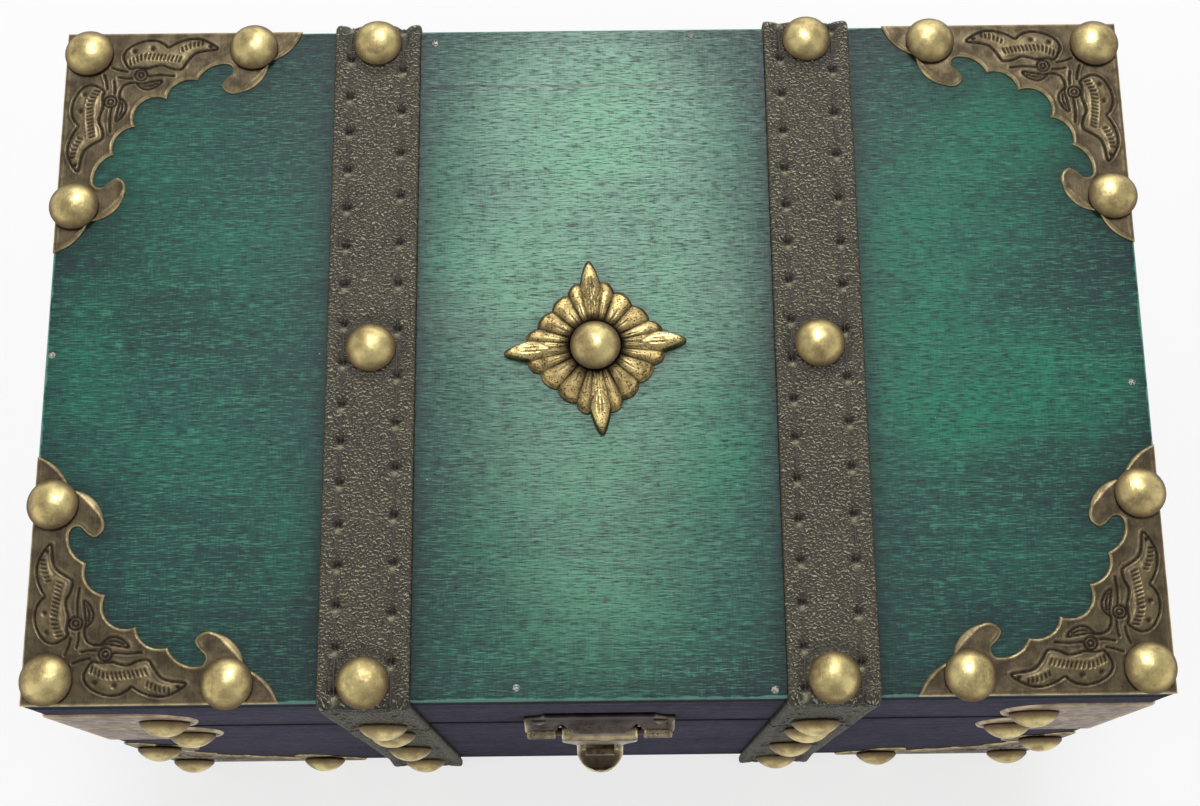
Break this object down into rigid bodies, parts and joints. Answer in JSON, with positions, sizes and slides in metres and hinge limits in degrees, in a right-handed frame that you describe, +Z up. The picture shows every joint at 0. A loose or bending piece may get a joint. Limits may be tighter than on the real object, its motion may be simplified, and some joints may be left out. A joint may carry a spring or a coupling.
{
  "type": "storage box",
  "caption": "Small flat-lidded wooden storage box with leather straps, brass corner fittings, dome nails, back hinges and a front latch.",
  "frame": {"origin": "middle of the underside of the wooden body", "axes": "+Z up, front with the latch towards -Y, +X to the right as seen from the front"},
  "size_m": [0.2478, 0.1695, 0.1348],
  "materials": {
    "lid_wood": "teal-green stain, satin",
    "body_wood": "dark stain, satin",
    "leather": "pebbled, dark olive brown",
    "fitting_brass": "antiqued, pressed",
    "bracket_brass": "antiqued, plain",
    "nail_brass": "antiqued, polished domes",
    "hardware_brass": "antiqued"
  },
  "bodies": {
    "box": {"body_back_panel": "body_wood", "body_bottom_panel": "body_wood", "body_bracket_back_left": "bracket_brass", "body_bracket_back_right": "bracket_brass", "body_bracket_front_left": "bracket_brass", "body_bracket_front_right": "bracket_brass", "body_bracket_nails": "nail_brass", "body_fitting_left": "fitting_brass", "body_fitting_nails": "nail_brass", "body_fitting_right": "fitting_brass", "body_front_panel": "body_wood", "body_left_panel": "body_wood", "body_right_panel": "body_wood", "body_strap_back_left": "leather", "body_strap_back_right": "leather", "body_strap_front_left": "leather", "body_strap_front_right": "leather", "body_strap_nails": "nail_brass", "hinge_body_leaf_left": "hardware_brass", "hinge_body_leaf_right": "hardware_brass", "hinge_pin_left": "hardware_brass", "hinge_pin_right": "hardware_brass", "latch_body_rivets": "hardware_brass", "latch_catch_plate": "hardware_brass"},
    "lid": {"hinge_lid_leaf_left": "hardware_brass", "hinge_lid_leaf_right": "hardware_brass", "latch_lid_plate": "hardware_brass", "latch_lid_rivets": "hardware_brass", "latch_pin": "hardware_brass", "lid_back_rail": "body_wood", "lid_bracket_back_left": "bracket_brass", "lid_bracket_back_right": "bracket_brass", "lid_bracket_front_left": "bracket_brass", "lid_bracket_front_right": "bracket_brass", "lid_bracket_nails": "nail_brass", "lid_fitting_back_left": "fitting_brass", "lid_fitting_back_right": "fitting_brass", "lid_fitting_front_left": "fitting_brass", "lid_fitting_front_right": "fitting_brass", "lid_fitting_nails": "nail_brass", "lid_front_rail": "body_wood", "lid_left_rail": "body_wood", "lid_right_rail": "body_wood", "lid_rosette": "fitting_brass", "lid_rosette_nail": "nail_brass", "lid_strap_left": "leather", "lid_strap_nails": "nail_brass", "lid_strap_right": "leather", "lid_top_panel": "lid_wood"},
    "flap": {"latch_flap": "hardware_brass"}
  },
  "joints": [
    {"name": "lid_hinge", "type": "hinge", "parent": "box", "child": "lid", "pos_m": [0, 0.0793, 0.09015], "axis": [-1, 0, 0], "range_deg": [0, 105]},
    {"name": "flap_hinge", "type": "hinge", "parent": "lid", "child": "flap", "pos_m": [0, -0.07962, 0.093], "axis": [-1, 0, 0], "range_deg": [0, 110]}
  ]
}
